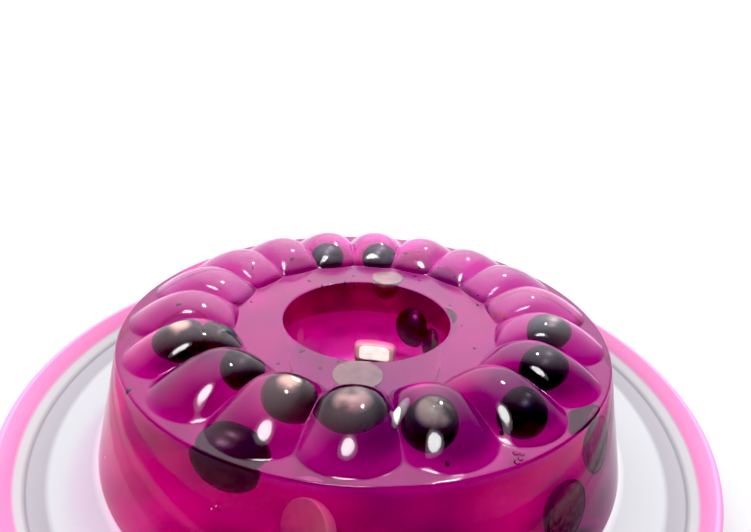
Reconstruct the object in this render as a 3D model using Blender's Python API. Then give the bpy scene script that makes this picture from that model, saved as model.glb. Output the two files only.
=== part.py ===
"""Fruit pudding: a clear jelly ring, turned out of a fluted mould onto its round plate.

The jelly is low and wide. Its plain side leans in towards the top and ends in a sharp shoulder.
A narrow flat ledge runs inside the shoulder, then a ring of eighteen domed lobes with sharp
grooves between them, then a flat crown, and in the middle a hole that narrows downwards to the
plate. The plate is turned: a foot ring, a flat well, a small step, and a flared rim with a
coloured band.

Units are metres, +Z is up, the origin is the middle of the plate's underside, and the middle of
one lobe faces -Y.
"""
import math

import bpy
import numpy as np

MM = 0.001
DEGREE = math.pi / 180.0

# Plate: heights above the surface it stands on, radii from its axis
FOOT_HEIGHT = 3.0 * MM
FOOT_RADIUS = 118.0 * MM
FOOT_WIDTH = 5.0 * MM
PLATE_THICKNESS = 3.0 * MM
WELL_RADIUS = 128.5 * MM
STEP_WIDTH = 6.0 * MM
STEP_RISE = 2.6 * MM
WALL_WIDTH = 3.0 * MM
WALL_RISE = 4.2 * MM
BAND_WIDTH = 6.5 * MM
BAND_RISE = 7.0 * MM
WELL_TOP = FOOT_HEIGHT + PLATE_THICKNESS
STEP_RADIUS = WELL_RADIUS + STEP_WIDTH
BAND_RADIUS = STEP_RADIUS + WALL_WIDTH
RIM_RADIUS = BAND_RADIUS + BAND_WIDTH
BAND_HEIGHT = WELL_TOP + STEP_RISE + WALL_RISE
RIM_HEIGHT = BAND_HEIGHT + BAND_RISE
PLATE_SEGMENTS = 96
LIP_POINTS = 5

# Jelly: heights above its flat base, radii from its axis
REST_GAP = 0.3 * MM
BASE_RADIUS = 111.5 * MM
SHOULDER_RADIUS = 100.0 * MM
LEDGE_HEIGHT = 45.0 * MM
CROWN_HEIGHT = 44.2 * MM
HOLE_RADIUS = 36.0 * MM
HOLE_BASE_RADIUS = 33.0 * MM
EDGE_ROUND = 0.6 * MM
BASE_ROUND = 1.0 * MM
HOLE_ROUND = 1.0 * MM
ROUND_POINTS = 3

# Lobes: each one spans a full turn divided by their number, groove to groove
LOBES = 18
LOBE_OUTER_CUSP = 91.5 * MM
LOBE_OUTER_BULGE = 6.7 * MM
LOBE_INNER_CUSP = 56.2 * MM
LOBE_INNER_BULGE = 1.6 * MM
LOBE_HEIGHT = 11.8 * MM
GROOVE_SHARE = 0.41
FOOT_BOW = 0.8
DOME_BOW = 0.955
CREST_SKEW = 0.83
CREST_POWER = 1.8
LOBE_COLUMNS = 8
LOBE_ROWS = 14

JELLY_BASE = WELL_TOP + REST_GAP
SMOOTH_LIMIT = 32.0 * DEGREE


def bowed(across, bow):
    """A circular arc over -1..1: 1 in the middle and 0 at both ends, fuller as bow nears 1."""
    low = math.sqrt(1.0 - bow * bow)
    return (np.sqrt(1.0 - (bow * across) ** 2) - low) / (1.0 - low)


def quarter(points):
    """The sines and cosines of a quarter turn, from its start to its end."""
    turn = np.linspace(0.0, math.pi / 2.0, points)
    return np.sin(turn), np.cos(turn)


def jelly_columns():
    """The angle of each column from the front, and its place across its lobe, -1 to 1."""
    count = LOBES * LOBE_COLUMNS
    place = np.arange(count) / LOBE_COLUMNS
    across = 2.0 * (place - np.round(place))
    return place * 2.0 * math.pi / LOBES, across


def jelly_rows():
    """Radius and height of every point of the jelly, one row for each ring of its skin.

    The rows run round the cross-section: base, side, shoulder, ledge, lobes, crown and hole.
    A lobe's foot bows outwards on both sides, and between its feet the skin rises by a crest
    curve along the radius times a bowed arc across the lobe.
    """
    across = jelly_columns()[1]
    level = np.ones_like(across)
    lean = math.atan2(BASE_RADIUS - SHOULDER_RADIUS, LEDGE_HEIGHT)
    rise, run = quarter(ROUND_POINTS)
    rows = []

    rows.append((level * (HOLE_BASE_RADIUS + BASE_ROUND), level * 0.0))
    for sine, cosine in zip(rise, run):
        radius = BASE_RADIUS - BASE_ROUND * (1.0 - sine) - BASE_ROUND * math.tan(lean) * sine
        rows.append((level * radius, level * BASE_ROUND * (1.0 - cosine)))

    for sine, cosine in zip(rise, run):
        radius = SHOULDER_RADIUS - EDGE_ROUND * (1.0 - cosine)
        rows.append((level * radius, level * (LEDGE_HEIGHT - EDGE_ROUND * (1.0 - sine))))

    outer = LOBE_OUTER_CUSP + LOBE_OUTER_BULGE * bowed(across, FOOT_BOW)
    inner = LOBE_INNER_CUSP - LOBE_INNER_BULGE * bowed(across, FOOT_BOW)
    dome = GROOVE_SHARE + (1.0 - GROOVE_SHARE) * bowed(across, DOME_BOW)
    for outward in 0.5 + 0.5 * np.cos(np.linspace(0.0, math.pi, LOBE_ROWS)):
        crest = 1.0 - abs(2.0 * outward**CREST_SKEW - 1.0) ** CREST_POWER
        foot = CROWN_HEIGHT + outward * (LEDGE_HEIGHT - CROWN_HEIGHT)
        rows.append((inner + outward * (outer - inner), foot + LOBE_HEIGHT * crest * dome))

    for sine, cosine in zip(rise, run):
        radius = HOLE_RADIUS + HOLE_ROUND * (1.0 - sine)
        rows.append((level * radius, level * (CROWN_HEIGHT - HOLE_ROUND * (1.0 - cosine))))
    rows.append((level * HOLE_BASE_RADIUS, level * BASE_ROUND))
    return rows


def closed_ring_faces(rows, columns):
    """Quads that join a grid of rings all round and back to its first ring."""
    row, column = np.meshgrid(np.arange(rows), np.arange(columns), indexing="ij")
    next_row = (row + 1) % rows
    next_column = (column + 1) % columns
    corners = (
        row * columns + column,
        row * columns + next_column,
        next_row * columns + next_column,
        next_row * columns + column,
    )
    return np.stack(corners, axis=-1).reshape(-1, 4)


def jelly():
    """The jelly ring, one closed skin standing just clear of the plate's well."""
    angle = jelly_columns()[0]
    rows = jelly_rows()
    radius = np.array([row[0] for row in rows])
    height = np.array([row[1] for row in rows]) + JELLY_BASE
    points = np.stack((radius * np.sin(angle), -radius * np.cos(angle), height), axis=-1)
    faces = closed_ring_faces(len(rows), len(angle))
    return new_object("pudding", points.reshape(-1, 3), faces.tolist(), [jelly_material()])


def plate_profile():
    """Radius and height of the plate's section, from the middle of its top out to its underside."""
    top = [
        (WELL_RADIUS, WELL_TOP),
        (STEP_RADIUS, WELL_TOP + STEP_RISE),
        (BAND_RADIUS, BAND_HEIGHT),
    ]
    lip = PLATE_THICKNESS / 2.0
    slope = math.atan2(BAND_RISE, BAND_WIDTH)
    turns = slope + math.pi / 2.0 - np.linspace(0.0, math.pi, LIP_POINTS)
    lip_radius = RIM_RADIUS - lip
    lip_height = RIM_HEIGHT - lip
    edge = [(lip_radius + lip * math.cos(turn), lip_height + lip * math.sin(turn)) for turn in turns]
    under = [
        (BAND_RADIUS + lip, BAND_HEIGHT - PLATE_THICKNESS),
        (STEP_RADIUS + lip, WELL_TOP + STEP_RISE - PLATE_THICKNESS),
        (FOOT_RADIUS + FOOT_WIDTH + FOOT_HEIGHT, FOOT_HEIGHT),
        (FOOT_RADIUS + FOOT_WIDTH, 0.0),
        (FOOT_RADIUS, 0.0),
        (FOOT_RADIUS - FOOT_HEIGHT, FOOT_HEIGHT),
    ]
    return top + edge + under


def plate():
    """The plate, its section turned round +Z, with one point in the middle of each face."""
    profile = np.array(plate_profile())
    turn = np.arange(PLATE_SEGMENTS) * 2.0 * math.pi / PLATE_SEGMENTS
    radius = profile[:, 0][:, None]
    height = np.broadcast_to(profile[:, 1][:, None], (len(profile), PLATE_SEGMENTS))
    rings = np.stack((radius * np.sin(turn), -radius * np.cos(turn), height), axis=-1)
    top_middle = [0.0, 0.0, WELL_TOP]
    under_middle = [0.0, 0.0, FOOT_HEIGHT]
    points = np.vstack((rings.reshape(-1, 3), top_middle, under_middle))

    last_row = (len(profile) - 1) * PLATE_SEGMENTS
    top_index = len(points) - 2
    under_index = len(points) - 1
    faces = []
    for row in range(len(profile) - 1):
        for column in range(PLATE_SEGMENTS):
            following = (column + 1) % PLATE_SEGMENTS
            here = row * PLATE_SEGMENTS
            below = here + PLATE_SEGMENTS
            faces.append((here + column, below + column, below + following, here + following))
    for column in range(PLATE_SEGMENTS):
        following = (column + 1) % PLATE_SEGMENTS
        faces.append((top_index, column, following))
        faces.append((under_index, last_row + following, last_row + column))

    piece = new_object("plate", points, faces, [plate_material(), band_material()])
    for face in piece.data.polygons:
        x, y, z = face.center
        face.material_index = int(math.hypot(x, y) > BAND_RADIUS and z > BAND_HEIGHT)
    return piece


def new_object(name, points, faces, materials):
    """A mesh object made from points and faces, smooth except at its sharp edges."""
    mesh = bpy.data.meshes.new(name)
    mesh.from_pydata(points.tolist(), [], faces)
    mesh.shade_smooth()
    mesh.set_sharp_from_angle(angle=SMOOTH_LIMIT)
    for material in materials:
        mesh.materials.append(material)
    piece = bpy.data.objects.new(name, mesh)
    bpy.context.scene.collection.objects.link(piece)
    return piece


def plain_material(name, colour, roughness):
    """A Principled material and its shader node, with one colour and no metal."""
    material = bpy.data.materials.new(name)
    material.use_nodes = True
    shader = material.node_tree.nodes["Principled BSDF"]
    shader.inputs["Base Color"].default_value = (*colour, 1.0)
    shader.inputs["Roughness"].default_value = roughness
    shader.inputs["Metallic"].default_value = 0.0
    return material, shader


def jelly_material():
    """Clear magenta jelly, wet and smooth."""
    material, shader = plain_material("jelly", (0.62, 0.04, 0.26), 0.06)
    shader.inputs["Transmission Weight"].default_value = 0.6
    shader.inputs["IOR"].default_value = 1.35
    return material


def plate_material():
    """White glazed plate."""
    return plain_material("plate_white", (0.86, 0.87, 0.88), 0.18)[0]


def band_material():
    """The pink band on the plate's rim."""
    return plain_material("plate_pink", (0.93, 0.38, 0.66), 0.18)[0]


def main():
    for old in list(bpy.data.objects):
        bpy.data.objects.remove(old, do_unlink=True)
    plate()
    jelly()


main()
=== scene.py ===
"""Looks of the fruit pudding: a clear magenta jelly ring with grapes in it, on its round plate.

Units are metres, +Z is up, and the frame is the part's own: the origin is the middle of the
plate's underside and the middle of one lobe faces -Y. Each new piece is a surface worked out with
numpy and placed in its mesh, so its object stays at the origin.
"""
import math

import bpy
import numpy as np
from mathutils import Matrix


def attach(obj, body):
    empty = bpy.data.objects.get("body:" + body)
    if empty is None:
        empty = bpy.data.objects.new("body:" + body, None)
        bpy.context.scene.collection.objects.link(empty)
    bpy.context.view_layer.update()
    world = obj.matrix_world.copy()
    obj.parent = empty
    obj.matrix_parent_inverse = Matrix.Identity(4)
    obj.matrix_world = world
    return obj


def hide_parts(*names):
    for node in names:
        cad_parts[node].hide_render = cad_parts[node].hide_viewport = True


MM = 0.001
FULL_TURN = 2.0 * math.pi
DEGREE = FULL_TURN / 360.0

# Plate: heights above the surface it stands on, radii from its axis
FOOT_HEIGHT = 3.0 * MM
FOOT_RADIUS = 118.0 * MM
FOOT_WIDTH = 5.0 * MM
PLATE_THICKNESS = 3.0 * MM
WELL_TOP = 6.0 * MM
WELL_RADIUS = 128.5 * MM
STEP_RADIUS = 134.5 * MM
STEP_HEIGHT = 8.6 * MM
BAND_RADIUS = 137.5 * MM
BAND_HEIGHT = 12.8 * MM
RIM_RADIUS = 144.0 * MM
RIM_HEIGHT = 19.8 * MM
POLE_RADIUS = 0.5 * MM
WELL_ROUND = 3.0 * MM
STEP_ROUND = 1.5 * MM
BAND_ROUND = 2.0 * MM
FOOT_ROUND = 0.8 * MM
LIP_POINTS = 13
UNDER_POINTS = 5
PLATE_COLUMNS = 240

# Jelly: heights above the level of its base in the CAD part, radii from its axis
JELLY_LEVEL = 6.3 * MM
SINK = 0.4 * MM
BASE_RADIUS = 111.5 * MM
BASE_SEAM_OUTER = 70.0 * MM
BASE_SEAM_INNER = 66.0 * MM
SHOULDER_RADIUS = 100.0 * MM
LEDGE_RADIUS = 98.5 * MM
LEDGE_HEIGHT = 45.0 * MM
CROWN_RADIUS = 54.0 * MM
CROWN_HEIGHT = 44.2 * MM
HOLE_RADIUS = 36.0 * MM
HOLE_BASE_RADIUS = 33.0 * MM
BASE_ROUND = 1.2 * MM
EDGE_ROUND = 1.1 * MM
HOLE_ROUND = 1.0 * MM
LONGEST_RUN = 5.0 * MM
ARC_POINTS = 7
FLAT_SHARE = 0.25

# Lobes: radii of their feet at the grooves and how far these bow out, height, form of the crest
LOBES = 18
LOBE_TURN = FULL_TURN / LOBES
LOBE_OUTER_CUSP = 91.5 * MM
LOBE_OUTER_BULGE = 6.7 * MM
LOBE_INNER_CUSP = 56.2 * MM
LOBE_INNER_BULGE = 1.6 * MM
LOBE_HEIGHT = 11.8 * MM
GROOVE_SHARE = 0.41
FOOT_BOW = 0.8
DOME_BOW = 0.955
CREST_SKEW = 0.83
CREST_POWER = 1.8
GROOVE_SOFT = 0.022
CREASE_SOFT = 0.03
LOBE_COLUMNS = 24
LOBE_ROWS = 44

# Grapes: lobe number, radius and height of the middle (mm), width and length (mm), axis
GRAPES = [
    (0.92, 77.5, 45.8, 15.0, 19.0, (0.1, 0.1, 1.0)),
    (17.10, 70.0, 46.5, 16.0, 17.0, (0.3, 0.5, 0.8)),
    (17.97, 70.5, 46.5, 16.5, 19.0, (1.0, 0.2, 0.3)),
    (14.92, 77.5, 47.0, 15.5, 17.0, (0.9, 0.4, 0.3)),
    (14.97, 64.0, 44.5, 15.0, 16.5, (0.5, -0.4, 0.6)),
    (16.05, 66.0, 45.5, 13.5, 15.0, (0.4, 0.8, 0.3)),
    (16.83, 90.0, 37.0, 17.0, 24.0, (1.0, -0.1, -0.35)),
    (2.05, 83.0, 44.0, 14.5, 17.0, (0.3, 0.5, 0.9)),
    (3.02, 77.0, 46.0, 15.0, 16.5, (0.8, 0.7, 0.4)),
    (4.05, 76.0, 47.0, 14.0, 16.0, (0.9, 0.1, 0.5)),
    (10.08, 68.0, 43.0, 15.5, 16.5, (0.2, 0.5, 0.8)),
    (8.92, 68.0, 43.0, 15.5, 16.5, (0.6, 0.4, 0.7)),
    (6.35, 44.5, 18.0, 14.0, 16.0, (0.25, 0.1, 1.0)),
]

# Grape's form: its grid, the dimple's spread (radians) and depth (share of the length), and the
# pitch (radians per metre) and height (share of the size) of the waves in its skin
GRAPE_ROWS = 33
FRUIT_COLUMNS = 48
STEM_SPREAD = 0.22
STEM_DEPTH = 0.055
WAVE_PITCH = 260.0
UNEVENNESS = 0.006

# Pale halves: lobe number, radius and height of the flat face's middle (mm), width, depth, its facing
PALE_HALVES = [
    (17.95, 44.6, 43.7, 18.6, 9.0, (0.0, 0.0, 1.0)),
    (8.50, 44.4, 43.7, 15.4, 11.0, (0.0, 0.0, 1.0)),
]

# Half's form: rings of its flat face (shares of the radius), its soft edge (turns in radians)
HALF_ROWS = 17
CUT_FACE_RINGS = np.array((0.0, 0.5, 0.9))
CUT_EDGE = 0.4 * MM
CUT_EDGE_TURNS = np.array((0.4, 0.8, 1.2))

# White pieces: a block bare in the hole's wall (lobe number, radius and height of its middle, width,
# height, depth), a sliver by a lobe (lobe number, radius, height, width, length) and a half as above
WHITE_BLOCK = (8.70, 37.1, 5.4, 20.0, 10.0, 8.0)
WHITE_SLIVER = (0.56, 74.5, 48.6, 4.4, 13.0)
WHITE_HALF = (17.66, 97.0, 25.0, 20.0, 9.0, (-0.85, -0.75, 0.45))
BLOCK_ROWS = 25
BLOCK_POWER = 5

# The sliver's slant: what its start has more than its middle, in lobes, radius and height (mm)
SLIVER_SLANT = np.array((0.12, -3.4, 1.6))

# Halved grapes near a wall: lobe number, radius, height, width, depth (mm), the cut face's facing
# out of the ring (1) or into its hole (-1), and how far it looks up
GRAPE_HALVES = [
    (2.78, 99.2, 30.0, 20.0, 9.0, 1.0, 0.25),
    (2.14, 101.6, 17.5, 21.0, 9.0, 1.0, 0.25),
    (7.35, 45.0, 21.0, 21.0, 8.5, 1.0, -0.1),
]

# Their flesh: how much of the width its radius takes, and how deep the flat face's points may lie
FLESH_SHARE = 0.455
FLAT_LIMIT = 0.01 * MM

# Bubbles and drops in the skin: lobe number, radius and height (mm), how many, how far apart (mm)
DROPLETS = [
    (1.52, 97.1, 45.0, 4, 2.4),
    (16.96, 103.2, 31.5, 3, 1.8),
    (15.20, 108.2, 12.5, 1, 0.0),
]

# Drop's form: sizes (mm), stretch, grid, and the arc that one lobe spans at the shoulder (mm)
DROP_SIZES = (0.8, 2.0)
DROP_STRETCH = np.array((1.0, 1.0, 0.55))
DROP_ROWS = 11
DROP_COLUMNS = 16
LOBE_ARC = 34.0

# Dark seeds close under the skin: lobe number, radius and height (mm)
SEEDS = [
    (15.51, 98.9, 43.8),
    (14.21, 77.0, 53.8),
    (12.19, 63.4, 50.9),
    (10.02, 37.6, 43.1),
    (10.92, 38.1, 43.1),
    (7.95, 64.5, 52.1),
    (7.31, 60.6, 48.2),
    (5.82, 57.3, 45.6),
    (17.35, 37.6, 43.0),
    (16.16, 38.8, 43.0),
    (17.03, 44.4, 43.0),
]

# Scattered seeds: how many, their radii and heights (mm), and the widths (mm) and slimness of all
LOOSE_SEEDS = 34
LOOSE_RADII = (38.0, 92.0)
LOOSE_HEIGHTS = (36.0, 43.0)
SEED_WIDTHS = (0.9, 1.5)
SEED_SLIMNESS = (1.2, 2.0)
SEED_ROWS = 7
SEED_COLUMNS = 8

# Starts of the random draws; each grape has its own, counted up from the first
GRAPES_DRAW = 3
SLIVER_DRAW = 31
DROPLETS_DRAW = 21
SEEDS_DRAW = 8

# Tints of the jelly's surface, partly painted light and shade: crimson and rose lit towards -X,
# wine and plum shaded towards +X, lilac where the back lobes are lit from behind
SIDE_CRIMSON_PAINTED_LIGHT = (0.57, 0.12, 0.13)
SIDE_WINE_PAINTED_SHADE = (0.09, 0.03, 0.05)
LOBE_ROSE_PAINTED_LIGHT = (0.50, 0.33, 0.31)
LOBE_PLUM_PAINTED_SHADE = (0.09, 0.09, 0.11)
LILAC_PAINTED_BACKLIGHT = (1.0, 1.0, 1.0)
CROWN_MAUVE = (0.33, 0.27, 0.34)
LEDGE_BERRY = (0.36, 0.15, 0.26)
HOLE_GARNET = (0.36, 0.14, 0.16)

# Where one tint gives way to the next: heights, radii and places along Y, the last where the
# painted backlight sets in
TOP_HEIGHTS = (JELLY_LEVEL + 41.0 * MM, JELLY_LEVEL + 46.0 * MM)
DOME_HEIGHTS = (JELLY_LEVEL + 45.2 * MM, JELLY_LEVEL + 48.5 * MM)
CROWN_RADII = (70.0 * MM, 85.0 * MM)
HOLE_RADII = (36.0 * MM, 42.0 * MM)
PAINTED_BACKLIGHT_PLACES = (-50.0 * MM, 10.0 * MM)

# Clouds: the side turns from crimson, painted light, to wine, painted shade, where X plus this
# much of the noise is in the range
CLOUD_SCALE = 30.0
CLOUD_DETAIL = 1.0
CLOUD_SHARE = 0.70
CLOUD_RANGE = (0.335 - 0.14, 0.335 + 0.14)

# Jelly's depth: a metre absorbs the density times what the colour lacks of white
DEPTH_COLOUR = (0.94, 0.03, 0.865)
DEPTH_DENSITY = 62.0

# Jelly's surface: satin crown inside these radii, wet lobes outside them, faint dents
SATIN_RADII = (54.0 * MM, 58.0 * MM)
CROWN_ROUGHNESS = 0.12
LOBE_ROUGHNESS = 0.06
DENT_SCALE = 60.0
DENT_DETAIL = 3.0
DENT_STRENGTH = 0.08
DENT_DEPTH = 2.0 * MM

# Plate's glaze: radius (mm) and colour. It is lightest under the jelly, painted light that
# brightens the jelly, darker round it, grey on the step as painted shade, light again on the wall
# and pink on the rim
GLAZE_RADII = (105.0 * MM, 145.0 * MM)
GLAZE_AND_PAINTED_LIGHT = [
    # Painted light: lighter glaze under the jelly
    (110.2, (0.62, 0.62, 0.64)),
    (113.8, (0.39, 0.40, 0.42)),
    (127.4, (0.39, 0.40, 0.42)),
    # Painted shade: the grey band on the step
    (129.4, (0.26, 0.25, 0.28)),
    (134.6, (0.28, 0.27, 0.30)),
    (136.0, (0.56, 0.56, 0.58)),
    (137.4, (0.56, 0.56, 0.58)),
    (138.2, (0.76, 0.24, 0.49)),
]

# Grape skin: two tones in patches, and a painted highlight in beige on the tops and the upper fronts
SKIN_BLACK = (0.001, 0.002, 0.006)
SKIN_BLUE = (0.012, 0.036, 0.060)
PAINTED_HIGHLIGHT_BEIGE = (0.92, 0.76, 0.60)
SKIN_SCALE = 120.0
SKIN_DETAIL = 4.0
PATCH_LIMITS = (0.42, 0.78)
PAINTED_HIGHLIGHT_LIMITS = (0.30, 0.66)
PAINTED_HIGHLIGHT_HEIGHTS = (JELLY_LEVEL + 53.4 * MM, JELLY_LEVEL + 54.9 * MM)
PAINTED_HIGHLIGHT_DIRECTION = (0.0, -0.34, 0.94)
PAINTED_HIGHLIGHT_REACH = (79.4 * MM, 81.6 * MM)

# Flesh: darker and lighter colour of its blotches, their scale and limits, and the roughness
FLESH_DETAIL = 4.0
PALE_FLESH = ((0.26, 0.18, 0.155), (0.38, 0.29, 0.26), 260.0, (0.3, 0.7), 0.45)
WHITE_FLESH = ((0.72, 0.66, 0.60), (0.85, 0.80, 0.74), 200.0, (0.3, 0.7), 0.4)
GRAPE_FLESH = ((0.20, 0.09, 0.12), (0.42, 0.24, 0.30), 420.0, (0.35, 0.65), 0.4)

# Floor: its radius, and the radii between which it turns from grey to pale, painted shade near
# the plate fading to painted light far out
FLOOR_RADIUS = 1.6
FLOOR_CORNERS = 64
FLOOR_RADII = (0.15, 0.60)
FLOOR_GREY_PAINTED_SHADE = (0.50, 0.50, 0.51)
FLOOR_PALE_PAINTED_LIGHT = (0.90, 0.90, 0.91)

# World: the direction of each bright part, the limits of the dot product with it, colour, strength
ROOM = ((-0.22, 0.86, 0.46), (0.20, 0.85), (0.96, 0.97, 1.0), 1.3)
GLOW = ((0.0, 0.52, 0.854), (0.70, 1.0), (1.0, 0.99, 0.98), 1.8)
ROOM_DIM = (0.12, 0.12, 0.13)
WALL_WHITE = (1.0, 1.0, 1.0)
WALL_STRENGTH = 1.05

# Lamps aimed at the jelly: name, place, width and height, radiance
LAMPS = [
    ("lamp_over", (0.30, 0.575, 1.26), (0.11, 0.11), 320.0),
    ("window_core", (-0.10, -0.35, 1.25), (0.42, 0.26), 32.0),
    ("window_glow", (-0.105, -0.37, 1.32), (0.66, 0.38), 3.0),
]
JELLY_MIDDLE = (0.0, 0.0, 0.05)

# Narrow lamp into the hole
SPOT_PLACE = (-0.10, -0.34, 1.22)
SPOT_TARGET = (0.006, 0.030, 0.012)
SPOT_ENERGY = 240.0
SPOT_SIZE = 0.03
SPOT_ANGLE = 2.2 * DEGREE

# Camera, worked out from the circles of the plate, the shoulder and the hole
CAMERA_PLACE = (0.00781, -0.21606, 0.1646)
CAMERA_YAW = -1.41 * DEGREE
CAMERA_PITCH = 22.67 * DEGREE
CAMERA_ROLL = 3.07 * DEGREE
CAMERA_LENS = 26.84
CAMERA_SENSOR = 36.0
CAMERA_NEAR = 0.01

BLACK_LEVEL = (0.025, 0.034, 0.030)


def bowed(across, bow):
    """A circular arc over -1..1: 1 in the middle and 0 at both ends, fuller as bow nears 1."""
    low = math.sqrt(1.0 - bow * bow)
    return (np.sqrt(1.0 - (bow * across) ** 2) - low) / (1.0 - low)


def softened(value, soft):
    """The value, 0 or more, with its start bent flat over a length of about soft."""
    return np.sqrt(value * value + soft * soft) - soft


def unit(vector):
    """The vector at length 1."""
    return vector / np.linalg.norm(vector)


def rounded_path(corners, rounds, points=ARC_POINTS):
    """A path of radius and height through its corners, each one but the ends turned into an arc.

    The arc's middle lies on the corner's bisector, at its radius over the sine of half the angle.
    A short run is kept on both sides of an arc, so that the flats beside it stay flat in shading.
    """
    corners = np.array(corners, float)
    path = [corners[:1]]
    for before, corner, following, size in zip(corners, corners[1:], corners[2:], rounds):
        back = unit(before - corner)
        ahead = unit(following - corner)
        half = 0.5 * math.acos(float(np.clip(back @ ahead, -1.0, 1.0)))
        middle = corner + unit(back + ahead) * size / math.sin(half)
        start = corner + back * size / math.tan(half)
        end = corner + ahead * size / math.tan(half)
        first = math.atan2(*(start - middle)[::-1])
        turn = math.atan2(*(end - middle)[::-1]) - first
        turn = (turn + math.pi) % FULL_TURN - math.pi
        angle = first + turn * np.linspace(0.0, 1.0, points)
        path.append([start + back * FLAT_SHARE * size])
        path.append(middle + size * np.stack((np.cos(angle), np.sin(angle)), axis=-1))
        path.append([end + ahead * FLAT_SHARE * size])
    path.append(corners[-1:])
    return np.vstack(path)


def with_steps(path, step):
    """The path with points added so that none of its runs is longer than the step."""
    points = [path[:1]]
    for start, end in zip(path[:-1], path[1:]):
        parts = max(1, math.ceil(np.linalg.norm(end - start) / step))
        shares = np.arange(1, parts + 1)[:, None] / parts
        points.append(start + (end - start) * shares)
    return np.vstack(points)


def ring_faces(rows, columns, closed):
    """Quads of a grid of rings: all round, and from the last ring back to the first if closed."""
    last = rows if closed else rows - 1
    row, column = np.meshgrid(np.arange(last), np.arange(columns), indexing="ij")
    after = (row + 1) % rows
    beside = (column + 1) % columns
    corners = [(row, column), (row, beside), (after, beside), (after, column)]
    grid = np.stack([down * columns + along for down, along in corners], axis=-1)
    return grid.reshape(-1, 4).tolist()


def turned_solid(section, columns):
    """Points and faces of a section of radius and height, turned round Z, with both poles.

    A ring's points are (radius cos t, radius sin t, height) over a full turn t. The section's ends
    are poles on the axis, joined to the nearest ring by triangles. Faces point outwards where the
    section runs from the lower pole, out and up, to the upper one.
    """
    section = np.array(section, float)
    turn = np.arange(columns) * FULL_TURN / columns
    radius = section[1:-1, :1]
    height = section[1:-1, 1:] * np.ones(columns)
    rings = np.stack((radius * np.cos(turn), radius * np.sin(turn), height), axis=-1)
    poles = [(0.0, 0.0, section[0, 1]), (0.0, 0.0, section[-1, 1])]
    points = np.vstack((rings.reshape(-1, 3), poles))

    column = np.arange(columns)
    beside = (column + 1) % columns
    last = (len(rings) - 1) * columns
    pole = np.full(columns, len(points) - 2)
    first_cap = np.stack((pole, beside, column), axis=-1)
    last_cap = np.stack((pole + 1, last + column, last + beside), axis=-1)
    faces = ring_faces(len(rings), columns, False) + first_cap.tolist() + last_cap.tolist()
    return points, faces


def new_piece(name, shape, materials, picks=None):
    """A smooth mesh object from points and faces; picks gives the material of each face."""
    points, faces = shape
    mesh = bpy.data.meshes.new(name)
    mesh.from_pydata(points.tolist(), [], faces)
    mesh.shade_smooth()
    for material in materials:
        mesh.materials.append(material)
    if picks is not None:
        mesh.polygons.foreach_set("material_index", np.array(picks, np.int32))
    mesh.update()
    piece = bpy.data.objects.new(name, mesh)
    bpy.context.scene.collection.objects.link(piece)
    return piece


def jelly_skin():
    """Points and faces of the jelly ring's skin, one ring of points for each row of the section.

    Base, leaning side, shoulder and ledge are turned. A lobe's foot bows outwards on both sides;
    between its feet the skin rises by a crest curve along the radius times a bowed arc across
    the lobe. Then come the flat crown and the hole. Columns crowd towards the grooves.
    """
    share = np.arange(LOBE_COLUMNS) / LOBE_COLUMNS
    across = np.tile(-np.cos(math.pi * share), LOBES)
    lobe = np.repeat(np.arange(LOBES), LOBE_COLUMNS)
    angle = (lobe + 0.5 * across) * LOBE_TURN
    across = 1.0 - softened(1.0 - np.abs(across), GROOVE_SOFT)
    level = np.ones_like(across)

    side = [
        (BASE_SEAM_OUTER, -SINK),
        (BASE_RADIUS, -SINK),
        (SHOULDER_RADIUS, LEDGE_HEIGHT),
        (LEDGE_RADIUS, LEDGE_HEIGHT),
    ]
    side = with_steps(rounded_path(side, [BASE_ROUND, EDGE_ROUND]), LONGEST_RUN)
    hole = [
        (CROWN_RADIUS, CROWN_HEIGHT),
        (HOLE_RADIUS, CROWN_HEIGHT),
        (HOLE_BASE_RADIUS, -SINK),
        (BASE_SEAM_INNER, -SINK),
    ]
    hole = with_steps(rounded_path(hole, [HOLE_ROUND, BASE_ROUND]), LONGEST_RUN)

    outward = 0.5 + 0.5 * np.cos(np.linspace(0.0, math.pi, LOBE_ROWS))[:, None]
    outer = LOBE_OUTER_CUSP + LOBE_OUTER_BULGE * bowed(across, FOOT_BOW)
    inner = LOBE_INNER_CUSP - LOBE_INNER_BULGE * bowed(across, FOOT_BOW)
    dome = GROOVE_SHARE + (1.0 - GROOVE_SHARE) * bowed(across, DOME_BOW)
    crest = 1.0 - np.abs(2.0 * outward**CREST_SKEW - 1.0) ** CREST_POWER
    foot = CROWN_HEIGHT + outward * (LEDGE_HEIGHT - CROWN_HEIGHT)
    lobe_radius = inner + outward * (outer - inner)
    lobe_height = foot + LOBE_HEIGHT * softened(crest * dome, CREASE_SOFT)

    radius = np.vstack((side[:, :1] * level, lobe_radius, hole[:, :1] * level))
    height = np.vstack((side[:, 1:] * level, lobe_height, hole[:, 1:] * level)) + JELLY_LEVEL
    points = np.stack((radius * np.sin(angle), -radius * np.cos(angle), height), axis=-1)
    return points.reshape(-1, 3), ring_faces(len(radius), len(angle), True)


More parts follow.
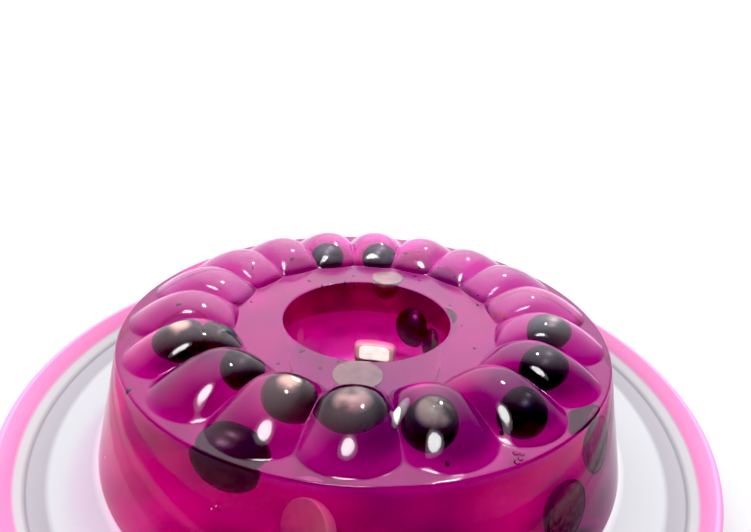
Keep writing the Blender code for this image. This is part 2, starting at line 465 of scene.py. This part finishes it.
def plate_skin():
    """Points and faces of the turned plate: its rounded section turned round +Z.

    The lip is half a circle as wide as the plate is thick, square to the flare of the rim.
    """
    slope = math.atan2(RIM_HEIGHT - BAND_HEIGHT, RIM_RADIUS - BAND_RADIUS)
    lip = PLATE_THICKNESS / 2.0
    turns = slope + math.pi / 2.0 - np.linspace(0.0, math.pi, LIP_POINTS)
    lip_middle = np.array((RIM_RADIUS - lip, RIM_HEIGHT - lip))
    edge = lip_middle + lip * np.stack((np.cos(turns), np.sin(turns)), axis=-1)
    top = [
        (POLE_RADIUS, WELL_TOP),
        (WELL_RADIUS, WELL_TOP),
        (STEP_RADIUS, STEP_HEIGHT),
        (BAND_RADIUS, BAND_HEIGHT),
        edge[0],
    ]
    top = rounded_path(top, [WELL_ROUND, STEP_ROUND, BAND_ROUND])
    under = [
        edge[-1],
        (BAND_RADIUS + lip, BAND_HEIGHT - PLATE_THICKNESS),
        (STEP_RADIUS + lip, STEP_HEIGHT - PLATE_THICKNESS),
        (FOOT_RADIUS + FOOT_WIDTH + FOOT_HEIGHT, FOOT_HEIGHT),
        (FOOT_RADIUS + FOOT_WIDTH, 0.0),
        (FOOT_RADIUS, 0.0),
        (FOOT_RADIUS - FOOT_HEIGHT, FOOT_HEIGHT),
        (POLE_RADIUS, FOOT_HEIGHT),
    ]
    under = rounded_path(under, [BAND_ROUND, STEP_ROUND] + [FOOT_ROUND] * 4, UNDER_POINTS)
    section = np.vstack(((0.0, WELL_TOP), top, edge[1:-1], under, (0.0, FOOT_HEIGHT)))
    return turned_solid(section[::-1], PLATE_COLUMNS)


def egg_section(width, length, rows):
    """Half an ellipse of radius and height, from the lower pole to the upper one."""
    turn = np.linspace(0.0, math.pi, rows)
    return np.stack((0.5 * width * np.sin(turn), -0.5 * length * np.cos(turn)), axis=-1)


def grape_shape(width, length, start):
    """A grape: an ellipsoid along its own axis with a dimple at the stem and faint unevenness.

    The dimple is a bell curve of the angle from the stem's end, the upper pole. The unevenness
    moves each point in or out by a small share of three sine waves in random directions.
    """
    from_stem = np.linspace(math.pi, 0.0, GRAPE_ROWS)
    section = egg_section(width, length, GRAPE_ROWS)
    section[:, 1] -= STEM_DEPTH * length * np.exp(-((from_stem / STEM_SPREAD) ** 2))
    points, faces = turned_solid(section, FRUIT_COLUMNS)
    waves = np.random.default_rng(start).uniform(-1.0, 1.0, (3, 3)) * WAVE_PITCH
    lift = sum(np.sin(points @ wave + index) for index, wave in enumerate(waves))
    return points * (1.0 + UNEVENNESS * lift[:, None]), faces


def half_shape(width, depth):
    """A cut half: a flat face on top, an edge that turns down round an arc, half an ellipsoid below."""
    across = 0.5 * width
    face_radius = CUT_FACE_RINGS * across
    rim = across - CUT_EDGE
    edge_radius = rim + CUT_EDGE * np.sin(CUT_EDGE_TURNS)
    edge_height = CUT_EDGE * np.cos(CUT_EDGE_TURNS) - CUT_EDGE
    turn = np.linspace(0.0, math.pi / 2.0, HALF_ROWS)[:-1]
    body_radius = across * np.cos(turn)
    body_height = -CUT_EDGE - (depth - CUT_EDGE) * np.sin(turn)
    radius = np.hstack((face_radius, rim, edge_radius, body_radius, 0.0))
    height = np.hstack((0.0 * face_radius, 0.0, edge_height, body_height, -depth))
    return turned_solid(np.stack((radius, height), axis=-1)[::-1], FRUIT_COLUMNS)


def block_shape(width, height, depth):
    """A block with soft corners: width along X, height along Y and depth along Z.

    Each point of a ball is moved out along its own direction to where its power sum is 1.
    """
    points, faces = turned_solid(egg_section(2.0, 2.0, BLOCK_ROWS), FRUIT_COLUMNS)
    power_sum = np.sum(np.abs(points) ** BLOCK_POWER, axis=1, keepdims=True)
    points = points / power_sum ** (1.0 / BLOCK_POWER)
    return points * np.array([0.5 * width, 0.5 * height, 0.5 * depth]), faces


def facing(axis):
    """Three axes at right angles as rows, the last one along the given axis."""
    w = unit(np.array(axis, float))
    upright = abs(w[2]) >= 0.9
    helper = (1.0, 0.0, 0.0) if upright else (0.0, 0.0, 1.0)
    u = unit(np.cross(helper, w))
    return np.array([u, np.cross(w, u), w])


def placed(shape, centre, axis):
    """The shape's points turned so that their own +Z lies along the axis, and moved to the centre."""
    points, faces = shape
    return points @ facing(axis) + np.array(centre), faces


def joined(shapes):
    """All shapes as one: one array of points and one list of faces."""
    all_points = []
    all_faces = []
    count = 0
    for points, faces in shapes:
        all_points.append(points)
        all_faces += [[count + corner for corner in face] for face in faces]
        count += len(points)
    return np.vstack(all_points), all_faces


def on_ring(angle, radius, height):
    """Points at an angle from the front, a radius and a height above the jelly's base."""
    return np.stack((radius * np.sin(angle), -radius * np.cos(angle), height + JELLY_LEVEL), axis=-1)


def in_ring(lobe, radius, height):
    """A place in the jelly from its lobe number, its radius and its height above the base, in mm."""
    return on_ring(lobe * LOBE_TURN, radius * MM, height * MM)


def grapes(material):
    """All whole grapes as one piece, each one inside its lobe or deeper in the jelly."""
    shapes = []
    for number, (lobe, radius, height, width, length, axis) in enumerate(GRAPES):
        shape = grape_shape(width * MM, length * MM, number + GRAPES_DRAW)
        shapes.append(placed(shape, in_ring(lobe, radius, height), axis))
    return new_piece("grapes", joined(shapes), [material])


def fruit_half(lobe, radius, height, width, depth, axis):
    """One half in its place in the jelly, its cut face towards the axis."""
    return placed(half_shape(width * MM, depth * MM), in_ring(lobe, radius, height), axis)


def pale_halves(material):
    """The pale fruit halves, cut face up just under the crown."""
    return new_piece("pale_halves", joined([fruit_half(*half) for half in PALE_HALVES]), [material])


def white_block():
    """The white block, bent round the hole and leaning with its wall, one face bare there.

    Its own X becomes an arc round the hole, its Z points to the hole's axis, and each level of it
    moves out with the wall's lean.
    """
    lobe, radius, height, width, tall, depth = WHITE_BLOCK
    points, faces = block_shape(width * MM, tall * MM, depth * MM)
    x, y, z = points.T
    lean = (HOLE_RADIUS - HOLE_BASE_RADIUS) / CROWN_HEIGHT
    angle = lobe * LOBE_TURN - x / HOLE_BASE_RADIUS
    return on_ring(angle, radius * MM - z + lean * y, y + height * MM), faces


def white_sliver():
    """The thin white sliver: a slim grape shape slanting across the groove beside a lobe."""
    *middle, width, length = WHITE_SLIVER
    start = in_ring(*(middle + SLIVER_SLANT))
    end = in_ring(*(middle - SLIVER_SLANT))
    shape = grape_shape(width * MM, length * MM, SLIVER_DRAW)
    return placed(shape, (start + end) / 2.0, end - start)


def white_pieces(material):
    """A white block at the foot of the hole's far wall, a sliver by a lobe and a half in front."""
    shapes = [white_block(), white_sliver(), fruit_half(*WHITE_HALF)]
    return new_piece("white_pieces", joined(shapes), [material])


def grape_halves(skin, flesh):
    """Halved dark grapes: the cut face is flesh inside a rim of skin, the rounded body is skin."""
    shapes = []
    picks = []
    for lobe, radius, height, width, depth, side, rise in GRAPE_HALVES:
        angle = lobe * LOBE_TURN
        axis = (side * math.sin(angle), -side * math.cos(angle), rise)
        points, faces = half_shape(width * MM, depth * MM)
        in_flesh = np.hypot(points[:, 0], points[:, 1]) < FLESH_SHARE * width * MM
        in_flesh &= points[:, 2] > -FLAT_LIMIT
        picks += [int(in_flesh[face].all()) for face in faces]
        shapes.append(placed((points, faces), in_ring(lobe, radius, height), axis))
    return new_piece("grape_halves", joined(shapes), [skin, flesh], picks)


def seeds(material):
    """Small dark seeds, little ellipsoids under the lobes and the crown, the last ones scattered."""
    draw = np.random.default_rng(SEEDS_DRAW)
    places = [in_ring(*place) for place in SEEDS]
    for _ in range(LOOSE_SEEDS):
        lobe = draw.uniform(0.0, LOBES)
        radius = draw.uniform(*LOOSE_RADII)
        height = draw.uniform(*LOOSE_HEIGHTS)
        places.append(in_ring(lobe, radius, height))
    shapes = []
    for place in places:
        width = draw.uniform(*SEED_WIDTHS) * MM
        length = width * draw.uniform(*SEED_SLIMNESS)
        seed = turned_solid(egg_section(width, length, SEED_ROWS), SEED_COLUMNS)
        shapes.append(placed(seed, place, draw.normal(size=3)))
    return new_piece("seeds", joined(shapes), [material])


def droplets(material):
    """Little flattened bubbles and drops half sunk in the skin, on the ledge and on the side."""
    draw = np.random.default_rng(DROPLETS_DRAW)
    bead, faces = turned_solid(egg_section(1.0, 1.0, DROP_ROWS), DROP_COLUMNS)
    shapes = []
    for lobe, radius, height, count, spread in DROPLETS:
        on_side = height * MM < LEDGE_HEIGHT
        for _ in range(count):
            size = draw.uniform(*DROP_SIZES) * MM
            across, along, up = draw.uniform(-1.0, 1.0, 3) * spread
            place = in_ring(lobe + across / LOBE_ARC, radius + along, height + up * on_side)
            shapes.append((bead * size * DROP_STRETCH + place, faces))
    return new_piece("droplets", joined(shapes), [material])


def new_material(name):
    """A new material and its Principled shader."""
    material = bpy.data.materials.new(name)
    material.use_nodes = True
    return material, material.node_tree.nodes["Principled BSDF"]


def feed(tree, socket, value):
    """Gives an input socket a number, a vector, a colour, or the output of another node."""
    if isinstance(value, bpy.types.NodeSocket):
        tree.links.new(value, socket)
    elif socket.type == "RGBA":
        socket.default_value = (*value, 1.0)
    else:
        socket.default_value = value


def object_place(tree):
    """The place of each shaded point in the part's own frame."""
    return tree.nodes.new("ShaderNodeTexCoord").outputs["Object"]


def axis_of(tree, place, axis):
    """One coordinate of a place: X, Y or Z."""
    apart = tree.nodes.new("ShaderNodeSeparateXYZ")
    tree.links.new(place, apart.inputs["Vector"])
    return apart.outputs[axis]


def math_of(tree, operation, *values):
    """The result of a sum, product or the like of numbers or sockets."""
    node = tree.nodes.new("ShaderNodeMath")
    node.operation = operation
    for socket, value in zip(node.inputs, values):
        feed(tree, socket, value)
    return node.outputs["Value"]


def vector_of(tree, operation, output, *values):
    """An output of a vector operation on vectors or sockets."""
    node = tree.nodes.new("ShaderNodeVectorMath")
    node.operation = operation
    for socket, value in zip(node.inputs, values):
        feed(tree, socket, value)
    return node.outputs[output]


def radius_of(tree, place):
    """The distance of each shaded point from the Z axis."""
    flat = vector_of(tree, "MULTIPLY", "Vector", place, (1.0, 1.0, 0.0))
    return vector_of(tree, "LENGTH", "Value", flat)


def noise_of(tree, place, scale, detail):
    """Soft noise of about 0 to 1."""
    noise = tree.nodes.new("ShaderNodeTexNoise")
    noise.inputs["Scale"].default_value = scale
    noise.inputs["Detail"].default_value = detail
    tree.links.new(place, noise.inputs["Vector"])
    return noise.outputs["Fac"]


def ramp_of(tree, value, limits, ends=(0.0, 1.0), interpolation="LINEAR"):
    """The value, carried from its two limits to the two ends and held there beyond them."""
    ramp = tree.nodes.new("ShaderNodeMapRange")
    ramp.interpolation_type = interpolation
    ramp.inputs["From Min"].default_value, ramp.inputs["From Max"].default_value = limits
    ramp.inputs["To Min"].default_value, ramp.inputs["To Max"].default_value = ends
    tree.links.new(value, ramp.inputs["Value"])
    return ramp.outputs["Result"]


def step_of(tree, value, limits, ends=(0.0, 1.0)):
    """A smooth step of the value from one end to the other between its two limits."""
    return ramp_of(tree, value, limits, ends, "SMOOTHSTEP")


def blend_of(tree, share, first, second):
    """The mix of two colours, each a colour or a socket, by a share that is a socket."""
    mix = tree.nodes.new("ShaderNodeMix")
    mix.data_type = "RGBA"
    tree.links.new(share, mix.inputs["Factor"])
    feed(tree, mix.inputs[6], first)
    feed(tree, mix.inputs[7], second)
    return mix.outputs[2]


def shader_mix(tree, share, first, second):
    """One of two shaders, or their mix, by a share that is a socket."""
    mix = tree.nodes.new("ShaderNodeMixShader")
    for socket, value in zip(mix.inputs, (share, first, second)):
        tree.links.new(value, socket)
    return mix.outputs["Shader"]


def shader_sum(tree, first, second):
    """The sum of two shaders."""
    both = tree.nodes.new("ShaderNodeAddShader")
    tree.links.new(first, both.inputs[0])
    tree.links.new(second, both.inputs[1])
    return both.outputs["Shader"]


def painted_light_tint(tree, place):
    """Painted light and shade: crimson to wine from -X to +X in soft clouds, and lilac as painted
    backlight on the lobes towards +Y.

    The flat crown is mauve, the ledge is berry red and the hole's wall is garnet.
    """
    clouds = noise_of(tree, place, CLOUD_SCALE, CLOUD_DETAIL)
    cloudy = math_of(tree, "MULTIPLY_ADD", clouds, CLOUD_SHARE, axis_of(tree, place, "X"))
    # Painted shade: darker towards +X, in clouds
    painted_shade_share = step_of(tree, cloudy, CLOUD_RANGE)
    # Painted backlight: lighter lilac on the lobes towards +Y
    painted_backlight_share = step_of(tree, axis_of(tree, place, "Y"), PAINTED_BACKLIGHT_PLACES)
    height = axis_of(tree, place, "Z")
    radius = radius_of(tree, place)
    painted_front = blend_of(tree, painted_shade_share, LOBE_ROSE_PAINTED_LIGHT, LOBE_PLUM_PAINTED_SHADE)
    lobes = blend_of(tree, painted_backlight_share, painted_front, LILAC_PAINTED_BACKLIGHT)
    flats = blend_of(tree, step_of(tree, radius, CROWN_RADII), CROWN_MAUVE, LEDGE_BERRY)
    upper = blend_of(tree, step_of(tree, height, DOME_HEIGHTS), flats, lobes)
    side = blend_of(tree, painted_shade_share, SIDE_CRIMSON_PAINTED_LIGHT, SIDE_WINE_PAINTED_SHADE)
    lower = blend_of(tree, step_of(tree, radius, HOLE_RADII), HOLE_GARNET, side)
    return blend_of(tree, step_of(tree, height, TOP_HEIGHTS), lower, upper)


def jelly_material():
    """Clear magenta jelly: wet and smooth, duller on the crown, coloured by its depth and a tint that
    paints light and shade.

    It lets the light of lamps through to the fruit and the plate, so it casts no shadow.
    """
    material, shader = new_material("jelly_clear")
    tree = material.node_tree
    nodes = tree.nodes
    links = tree.links
    shader.inputs["Transmission Weight"].default_value = 0.92
    shader.inputs["IOR"].default_value = 1.35

    place = object_place(tree)
    satin = step_of(tree, radius_of(tree, place), SATIN_RADII, (CROWN_ROUGHNESS, LOBE_ROUGHNESS))
    links.new(painted_light_tint(tree, place), shader.inputs["Base Color"])
    links.new(satin, shader.inputs["Roughness"])
    bump = nodes.new("ShaderNodeBump")
    bump.inputs["Strength"].default_value = DENT_STRENGTH
    bump.inputs["Distance"].default_value = DENT_DEPTH
    links.new(noise_of(tree, place, DENT_SCALE, DENT_DETAIL), bump.inputs["Height"])
    links.new(bump.outputs["Normal"], shader.inputs["Normal"])

    output = nodes["Material Output"]
    depth = nodes.new("ShaderNodeVolumeAbsorption")
    depth.inputs["Color"].default_value = (*DEPTH_COLOUR, 1.0)
    depth.inputs["Density"].default_value = DEPTH_DENSITY
    links.new(depth.outputs["Volume"], output.inputs["Volume"])

    shadow_ray = nodes.new("ShaderNodeLightPath").outputs["Is Shadow Ray"]
    clear = nodes.new("ShaderNodeBsdfTransparent").outputs["BSDF"]
    links.new(shader_mix(tree, shadow_ray, shader.outputs["BSDF"], clear), output.inputs["Surface"])
    return material


def plate_material():
    """White glaze, lighter under the jelly as painted light, with a soft grey band of painted shade on
    the step and a pink rim.
    """
    material, shader = new_material("plate_glaze")
    tree = material.node_tree
    shader.inputs["Roughness"].default_value = 0.22
    bands = tree.nodes.new("ShaderNodeValToRGB")
    elements = bands.color_ramp.elements
    while len(elements) < len(GLAZE_AND_PAINTED_LIGHT):
        elements.new(0.5)
    start, end = GLAZE_RADII
    for element, (radius, colour) in zip(elements, GLAZE_AND_PAINTED_LIGHT):
        element.position = (radius * MM - start) / (end - start)
        element.color = (*colour, 1.0)
    outward = ramp_of(tree, radius_of(tree, object_place(tree)), GLAZE_RADII)
    tree.links.new(outward, bands.inputs["Fac"])
    tree.links.new(bands.outputs["Color"], shader.inputs["Base Color"])
    return material


def grape_material():
    """Near-black skin with patches of blue-grey, and a painted highlight in beige on tops and upper
    fronts.

    The painted highlight lies where a point is high, or far along a direction up and to the front,
    and there it is broken up by the same noise as the patches.
    """
    material, shader = new_material("grape_bloom_and_painted_highlight")
    shader.inputs["Roughness"].default_value = 0.34
    tree = material.node_tree
    place = object_place(tree)
    noise = noise_of(tree, place, SKIN_SCALE, SKIN_DETAIL)
    skin = blend_of(tree, step_of(tree, noise, PATCH_LIMITS), SKIN_BLACK, SKIN_BLUE)
    # Painted highlight: beige on the top of each grape and on its upper front
    leaning = vector_of(tree, "DOT_PRODUCT", "Value", place, PAINTED_HIGHLIGHT_DIRECTION)
    painted_front = step_of(tree, leaning, PAINTED_HIGHLIGHT_REACH)
    top = step_of(tree, axis_of(tree, place, "Z"), PAINTED_HIGHLIGHT_HEIGHTS)
    crest = math_of(tree, "MAXIMUM", top, painted_front)
    painted_glow = math_of(tree, "MULTIPLY", crest, step_of(tree, noise, PAINTED_HIGHLIGHT_LIMITS))
    tree.links.new(blend_of(tree, painted_glow, skin, PAINTED_HIGHLIGHT_BEIGE), shader.inputs["Base Color"])
    return material


def blotched(name, dark, light, scale, limits, roughness):
    """A material of two colours in soft blotches of noise."""
    material, shader = new_material(name)
    shader.inputs["Roughness"].default_value = roughness
    tree = material.node_tree
    share = ramp_of(tree, noise_of(tree, object_place(tree), scale, FLESH_DETAIL), limits)
    tree.links.new(blend_of(tree, share, dark, light), shader.inputs["Base Color"])
    return material


def seed_material():
    """Dark seed coat."""
    material, shader = new_material("seed_dark")
    shader.inputs["Base Color"].default_value = (0.03, 0.01, 0.02, 1.0)
    shader.inputs["Roughness"].default_value = 0.4
    return material


def drop_material():
    """Clear, faintly pink water."""
    material, shader = new_material("drop_clear")
    shader.inputs["Base Color"].default_value = (1.0, 0.75, 0.9, 1.0)
    shader.inputs["Roughness"].default_value = 0.0
    shader.inputs["Transmission Weight"].default_value = 1.0
    shader.inputs["IOR"].default_value = 1.33
    return material


def floor():
    """A round pale floor, a little greyer close to the plate: painted shade there, painted light far
    out.
    """
    material, shader = new_material("floor_painted_falloff")
    shader.inputs["Roughness"].default_value = 0.8
    tree = material.node_tree
    outward = ramp_of(tree, radius_of(tree, object_place(tree)), FLOOR_RADII)
    tree.links.new(blend_of(tree, outward, FLOOR_GREY_PAINTED_SHADE, FLOOR_PALE_PAINTED_LIGHT), shader.inputs["Base Color"])
    turn = np.arange(FLOOR_CORNERS) * FULL_TURN / FLOOR_CORNERS
    circle = np.stack((np.cos(turn), np.sin(turn), 0.0 * turn), axis=-1)
    piece = new_piece("floor", (FLOOR_RADIUS * circle, [list(range(FLOOR_CORNERS))]), [material])


def world_term(tree, towards, limits, colour, strength):
    """A soft background: dark where the dot product with a direction is low, bright where high."""
    direction = tree.nodes.new("ShaderNodeTexCoord").outputs["Generated"]
    dot = vector_of(tree, "DOT_PRODUCT", "Value", direction, towards)
    background = tree.nodes.new("ShaderNodeBackground")
    background.inputs["Color"].default_value = (*colour, 1.0)
    brightness = math_of(tree, "MULTIPLY", step_of(tree, dot, limits), strength)
    tree.links.new(brightness, background.inputs["Strength"])
    return background.outputs["Background"]


def soft_world():
    """A world that lights from behind and above, dim elsewhere, and looks white to the camera."""
    world = bpy.data.worlds.new("studio")
    world.use_nodes = True
    tree = world.node_tree
    bright = shader_sum(tree, world_term(tree, *ROOM), world_term(tree, *GLOW))
    dim = tree.nodes["Background"]
    dim.inputs["Color"].default_value = (*ROOM_DIM, 1.0)
    light = shader_sum(tree, bright, dim.outputs["Background"])
    wall = tree.nodes.new("ShaderNodeBackground")
    wall.inputs["Color"].default_value = (*WALL_WHITE, 1.0)
    wall.inputs["Strength"].default_value = WALL_STRENGTH
    camera_ray = tree.nodes.new("ShaderNodeLightPath").outputs["Is Camera Ray"]
    seen = shader_mix(tree, camera_ray, light, wall.outputs["Background"])
    tree.links.new(seen, tree.nodes["World Output"].inputs["Surface"])
    bpy.context.scene.world = world


def stood(name, data, u, v, w, place):
    """An object in the scene whose own X, Y and Z lie along u, v and w, at a place."""
    thing = bpy.data.objects.new(name, data)
    rows = [[u[i], v[i], w[i], place[i]] for i in range(3)]
    thing.matrix_world = Matrix(rows + [[0.0, 0.0, 0.0, 1.0]])
    bpy.context.scene.collection.objects.link(thing)
    return thing


def aimed(name, light, place, target):
    """Puts a lamp at a place so that it shines at a target, its width square to Y."""
    w = unit(np.array(place) - np.array(target))
    u = unit(np.array([w[2], 0.0, -w[0]]))
    stood(name, light, u, np.cross(w, u), w, place)


def lamps():
    """Three flat elliptic lamps above, as bright as their radiance, and a narrow one into the hole."""
    for name, place, (width, height), radiance in LAMPS:
        light = bpy.data.lights.new(name, "AREA")
        light.shape = "ELLIPSE"
        light.size = width
        light.size_y = height
        light.energy = radiance * math.pi * (math.pi / 4.0) * width * height
        aimed(name, light, place, JELLY_MIDDLE)
    spot = bpy.data.lights.new("lamp_into_hole", "SPOT")
    spot.energy = SPOT_ENERGY
    spot.shadow_soft_size = SPOT_SIZE
    spot.spot_size = SPOT_ANGLE
    spot.spot_blend = 1.0
    aimed("lamp_into_hole", spot, SPOT_PLACE, SPOT_TARGET)


def camera():
    """In front and 16.5 cm up, looking 22.7 degrees down, rolled 3.1 degrees, with a wide lens."""
    level = math.cos(CAMERA_PITCH)
    heading = np.array([math.sin(CAMERA_YAW), math.cos(CAMERA_YAW)])
    ahead = np.array([*(heading * level), -math.sin(CAMERA_PITCH)])
    right = np.array([heading[1], -heading[0], 0.0])
    up = np.cross(right, ahead)
    side = right * math.cos(CAMERA_ROLL) + up * math.sin(CAMERA_ROLL)
    top = up * math.cos(CAMERA_ROLL) - right * math.sin(CAMERA_ROLL)
    lens = bpy.data.cameras.new("photo_camera")
    lens.sensor_width = CAMERA_SENSOR
    lens.lens = CAMERA_LENS
    lens.clip_start = CAMERA_NEAR
    view = stood("photo_camera", lens, side, top, -ahead, CAMERA_PLACE)
    bpy.context.scene.camera = view


def treat_light():
    """How light is followed and shown."""
    scene = bpy.context.scene
    scene.view_settings.view_transform = "Standard"
    scene.view_settings.use_curve_mapping = True
    scene.view_settings.curve_mapping.black_level = BLACK_LEVEL
    scene.view_settings.curve_mapping.update()
    scene.cycles.max_bounces = 20
    scene.cycles.transmission_bounces = 16
    scene.cycles.transparent_max_bounces = 16
    scene.cycles.caustics_reflective = False
    scene.cycles.blur_glossy = 0.5
    scene.cycles.use_denoising = True


def dress(piece):
    """The piece moves with the part's one body."""
    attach(piece, "root")


def main():
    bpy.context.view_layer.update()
    jelly = new_piece("jelly_ring", jelly_skin(), [jelly_material()])
    dress(jelly)
    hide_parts("pudding")
    dish = new_piece("plate_turned", plate_skin(), [plate_material()])
    dress(dish)
    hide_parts("plate")

    skin = grape_material()
    dress(grapes(skin))
    dress(pale_halves(blotched("pale_flesh", *PALE_FLESH)))
    dress(white_pieces(blotched("white_flesh", *WHITE_FLESH)))
    dress(grape_halves(skin, blotched("grape_flesh", *GRAPE_FLESH)))
    dress(seeds(seed_material()))
    dress(droplets(drop_material()))

    floor()
    soft_world()
    lamps()
    camera()
    treat_light()


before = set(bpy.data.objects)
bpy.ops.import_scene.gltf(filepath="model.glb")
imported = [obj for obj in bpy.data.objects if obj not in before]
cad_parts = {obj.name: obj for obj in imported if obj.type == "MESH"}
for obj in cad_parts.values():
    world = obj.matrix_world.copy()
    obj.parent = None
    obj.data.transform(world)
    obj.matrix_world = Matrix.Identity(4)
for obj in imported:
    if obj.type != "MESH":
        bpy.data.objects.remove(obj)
main()
